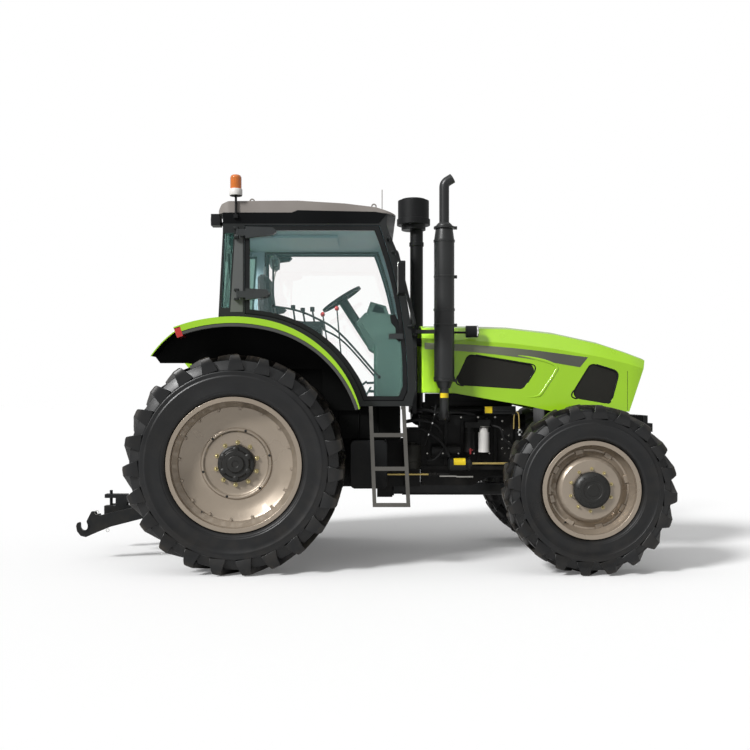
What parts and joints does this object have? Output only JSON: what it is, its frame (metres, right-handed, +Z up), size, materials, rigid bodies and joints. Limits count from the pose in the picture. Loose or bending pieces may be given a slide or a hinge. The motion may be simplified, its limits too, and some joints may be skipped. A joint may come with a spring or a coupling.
{
  "type": "farm tractor",
  "caption": "Four-wheel-drive farm tractor with a glazed cab, opening hood, side exhaust stack, steered front wheels and a rear lifting hitch with claw hooks",
  "frame": {"origin": "on the ground, under the middle of the machine's bounding box", "axes": "+X forwards, +Y to the driver's left, +Z up"},
  "size_m": [5.187, 2.36, 3.4595],
  "materials": {
    "tyre_rubber": "matt black rubber",
    "wheel_paint": "satin warm grey paint",
    "dark_casting": "dark painted casting",
    "green_paint": "gloss lime green paint",
    "black_paint": "satin black paint",
    "black_plastic": "grained black plastic",
    "roof_plastic": "satin warm grey plastic",
    "tinted_glass": "clear tinted glass",
    "seat_fabric": "woven dark fabric",
    "console_plastic": "moulded grey-green plastic",
    "mesh_metal": "black perforated mesh",
    "lamp_lens": "clear lens over a bright reflector",
    "red_lens": "red moulded lens",
    "amber_lens": "amber moulded dome",
    "white_paint": "gloss white paint"
  },
  "bodies": {
    "chassis": {"air_intake": "black_plastic", "beacon_dome": "amber_lens", "cab_frame": "black_paint", "cab_tub": "black_plastic", "cab_windows": "tinted_glass", "console": "console_plastic", "cowl": "black_plastic", "drawbar": "black_paint", "drive_shaft": "black_paint", "engine": "dark_casting", "exhaust": "black_paint", "fender_left": "green_paint", "fender_right": "green_paint", "fender_trims": "black_plastic", "filters": "white_paint", "front_axle": "dark_casting", "front_frame": "dark_casting", "fuel_tanks": "black_plastic", "gearbox": "dark_casting", "hitch_frame": "dark_casting", "lamps": "black_plastic", "mirrors": "black_plastic", "radiator": "black_paint", "rear_axle": "dark_casting", "roof": "roof_plastic", "seat_base": "black_plastic", "seat_cushions": "seat_fabric", "steering_wheel": "black_plastic", "steps": "black_paint", "tail_lamps": "red_lens"},
    "hood": {"hood": "green_paint", "hood_grilles": "mesh_metal", "headlamps": "lamp_lens"},
    "door_right": {"door_right": "black_paint", "door_glass_right": "tinted_glass"},
    "door_left": {"door_left": "black_paint", "door_glass_left": "tinted_glass"},
    "knuckle_right": {"knuckle_right": "dark_casting"},
    "knuckle_left": {"knuckle_left": "dark_casting"},
    "tie_rod": {"tie_rod": "black_paint"},
    "lower_links": {"lower_links": "black_paint"},
    "lift_arms": {"lift_arms": "black_paint"},
    "lift_rods": {"lift_rods": "black_paint"},
    "wheel_rear_right": {"tyre_rear_right": "tyre_rubber", "rim_rear_right": "wheel_paint", "hub_rear_right": "dark_casting"},
    "wheel_rear_left": {"tyre_rear_left": "tyre_rubber", "rim_rear_left": "wheel_paint", "hub_rear_left": "dark_casting"},
    "wheel_front_right": {"tyre_front_right": "tyre_rubber", "rim_front_right": "wheel_paint", "hub_front_right": "dark_casting"},
    "wheel_front_left": {"tyre_front_left": "tyre_rubber", "rim_front_left": "wheel_paint", "hub_front_left": "dark_casting"}
  },
  "joints": [
    {"name": "wheel_rear_right_spin", "type": "hinge", "parent": "chassis", "child": "wheel_rear_right", "pos_m": [-1.079, -0.915, 0.91], "axis": [0, 1, 0], "continuous": true},
    {"name": "steer_right", "type": "hinge", "parent": "chassis", "child": "knuckle_right", "pos_m": [1.856, -0.7, 0.7025], "axis": [0, 0, 1], "range_deg": [-45, 45]},
    {"name": "wheel_front_right_spin", "type": "hinge", "parent": "knuckle_right", "child": "wheel_front_right", "pos_m": [1.856, -0.95, 0.7025], "axis": [0, 1, 0], "continuous": true},
    {"name": "door_right_swing", "type": "hinge", "parent": "chassis", "child": "door_right", "pos_m": [-1.084, -0.836, 2.6], "axis": [0, 0, -1], "range_deg": [0, 75]},
    {"name": "wheel_rear_left_spin", "type": "hinge", "parent": "chassis", "child": "wheel_rear_left", "pos_m": [-1.079, 0.915, 0.91], "axis": [0, 1, 0], "continuous": true},
    {"name": "steer_left", "type": "hinge", "parent": "chassis", "child": "knuckle_left", "pos_m": [1.856, 0.7, 0.7025], "axis": [0, 0, 1], "range_deg": [-45, 45]},
    {"name": "wheel_front_left_spin", "type": "hinge", "parent": "knuckle_left", "child": "wheel_front_left", "pos_m": [1.856, 0.95, 0.7025], "axis": [0, 1, 0], "continuous": true},
    {"name": "door_left_swing", "type": "hinge", "parent": "chassis", "child": "door_left", "pos_m": [-1.084, 0.836, 2.6], "axis": [0, 0, 1], "range_deg": [0, 75]},
    {"name": "tie_rod_pivot", "type": "hinge", "parent": "knuckle_right", "child": "tie_rod", "pos_m": [1.596, -0.7, 0.5265], "axis": [0, 0, 1], "range_deg": [-46, 46]},
    {"name": "hood_lift", "type": "hinge", "parent": "chassis", "child": "hood", "pos_m": [0.546, 0, 2.06], "axis": [0, -1, 0], "range_deg": [0, 42]},
    {"name": "hitch_lift", "type": "hinge", "parent": "chassis", "child": "lower_links", "pos_m": [-1.319, 0, 0.56], "axis": [0, 1, 0], "range_deg": [-8, 32]},
    {"name": "lift_arm_turn", "type": "hinge", "parent": "chassis", "child": "lift_arms", "pos_m": [-1.319, 0, 1.22], "axis": [0, 1, 0], "range_deg": [-9, 33]},
    {"name": "lift_rod_pivot", "type": "hinge", "parent": "lift_arms", "child": "lift_rods", "pos_m": [-1.69197, 0, 1.1472], "axis": [0, 1, 0], "range_deg": [-33, 9]}
  ],
  "couplings": [
    {"joint": "steer_left", "follows": "steer_right", "ratio": 1},
    {"joint": "tie_rod_pivot", "follows": "steer_right", "ratio": -1},
    {"joint": "lift_arm_turn", "follows": "hitch_lift", "ratio": 1},
    {"joint": "lift_rod_pivot", "follows": "hitch_lift", "ratio": -1}
  ]
}
